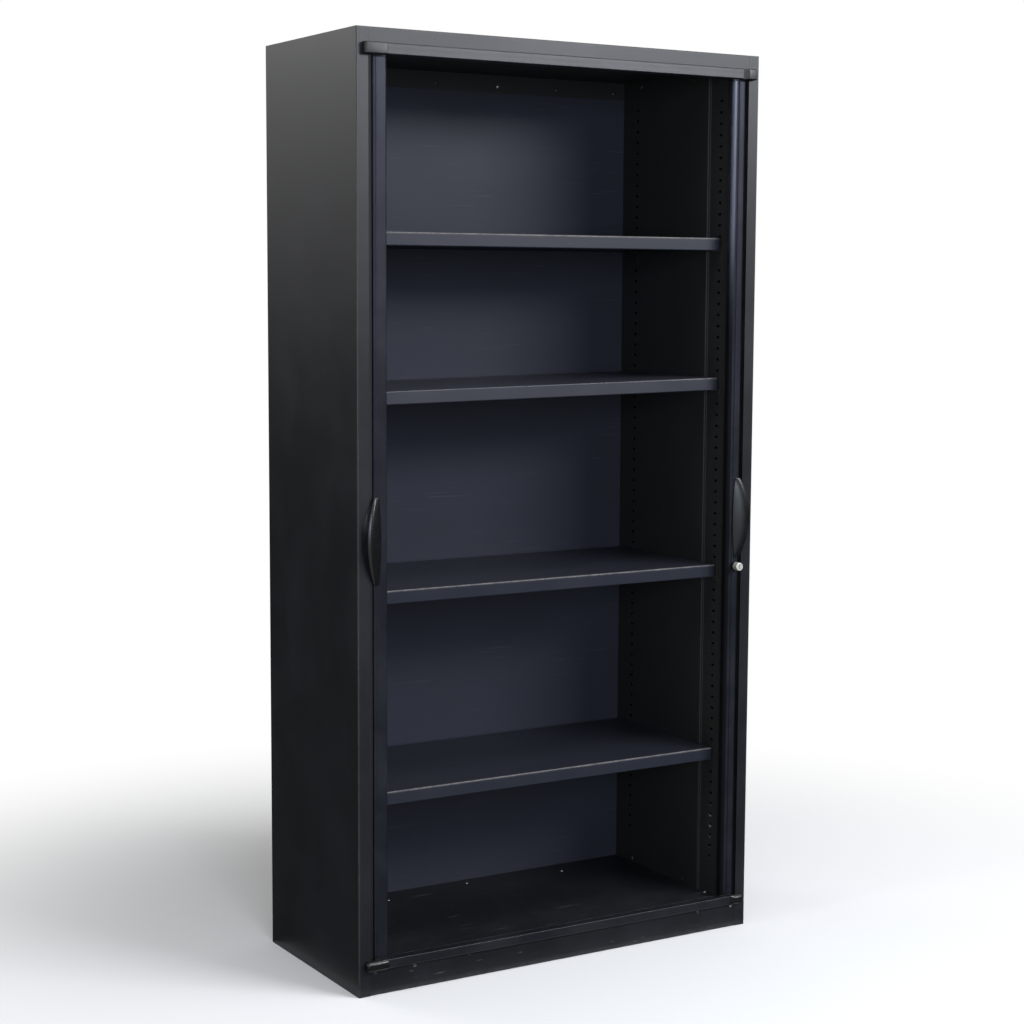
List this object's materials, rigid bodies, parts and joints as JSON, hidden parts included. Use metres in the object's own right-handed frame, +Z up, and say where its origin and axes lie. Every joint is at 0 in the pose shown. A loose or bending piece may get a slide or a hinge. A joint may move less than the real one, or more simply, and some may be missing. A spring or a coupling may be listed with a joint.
{
  "type": "tambour door cupboard",
  "caption": "Tall black steel office cupboard, its tambour doors run back into the side pockets, with adjustable shelves, bow handles, grooved front rails and a hook lock.",
  "frame": {"origin": "on the floor, below the middle of the whole cupboard with its lock", "axes": "+Z up, +X to the right and +Y to the back as seen by someone at the front"},
  "size_m": [1, 0.452, 1.98],
  "materials": {
    "coated_steel": "black satin powder coat on folded sheet",
    "extrusion": "black satin coat on an extruded profile",
    "slats": "black extruded plastic slat",
    "moulding": "black moulded plastic, slightly glossy",
    "guide": "black moulded plastic, matt",
    "lock": "bright nickel plate",
    "zinc": "bright zinc plate"
  },
  "bodies": {
    "carcass": {"angle_bottom_left": "coated_steel", "angle_bottom_right": "coated_steel", "angle_top_left": "coated_steel", "angle_top_right": "coated_steel", "back_panel": "coated_steel", "back_rivets": "zinc", "base_panel": "coated_steel", "bottom_rail": "extrusion", "cap_bottom_left": "moulding", "cap_bottom_right": "moulding", "cap_top_left": "moulding", "cap_top_right": "moulding", "ceiling_panel": "coated_steel", "clips_1": "zinc", "clips_2": "zinc", "clips_3": "zinc", "clips_4": "zinc", "curtain_left": "slats", "curtain_right": "slats", "floor_panel": "coated_steel", "floor_rivets": "zinc", "inner_panel_left": "coated_steel", "inner_panel_right": "coated_steel", "plinth": "coated_steel", "plinth_screws": "zinc", "shelf_1": "coated_steel", "shelf_2": "coated_steel", "shelf_3": "coated_steel", "shelf_4": "coated_steel", "side_panel_left": "coated_steel", "side_panel_right": "coated_steel", "top_panel": "coated_steel", "top_rail": "extrusion", "track_bottom_left": "guide", "track_bottom_right": "guide", "track_top_left": "guide", "track_top_right": "guide", "wall_rivets_left": "zinc", "wall_rivets_right": "zinc"},
    "left_door": {"post_left": "extrusion", "shoe_top_left": "guide", "shoe_bottom_left": "guide", "handle_left": "moulding", "keeper": "zinc"},
    "right_door": {"post_right": "extrusion", "shoe_top_right": "guide", "shoe_bottom_right": "guide", "handle_right": "moulding", "lock_collar": "moulding", "lock_barrel": "lock"},
    "lock": {"lock_plug": "lock", "lock_hook": "zinc"}
  },
  "joints": [
    {"name": "left_slide", "type": "slide", "parent": "carcass", "child": "left_door", "axis": [1, 0, 0], "range_m": [0, 0.43], "deforming": ["curtain_left"]},
    {"name": "right_slide", "type": "slide", "parent": "carcass", "child": "right_door", "axis": [-1, 0, 0], "range_m": [0, 0.43], "deforming": ["curtain_right"]},
    {"name": "lock_turn", "type": "hinge", "parent": "right_door", "child": "lock", "pos_m": [0.454, -0.204, 0.8425], "axis": [0, 1, 0], "range_deg": [0, 90]}
  ]
}
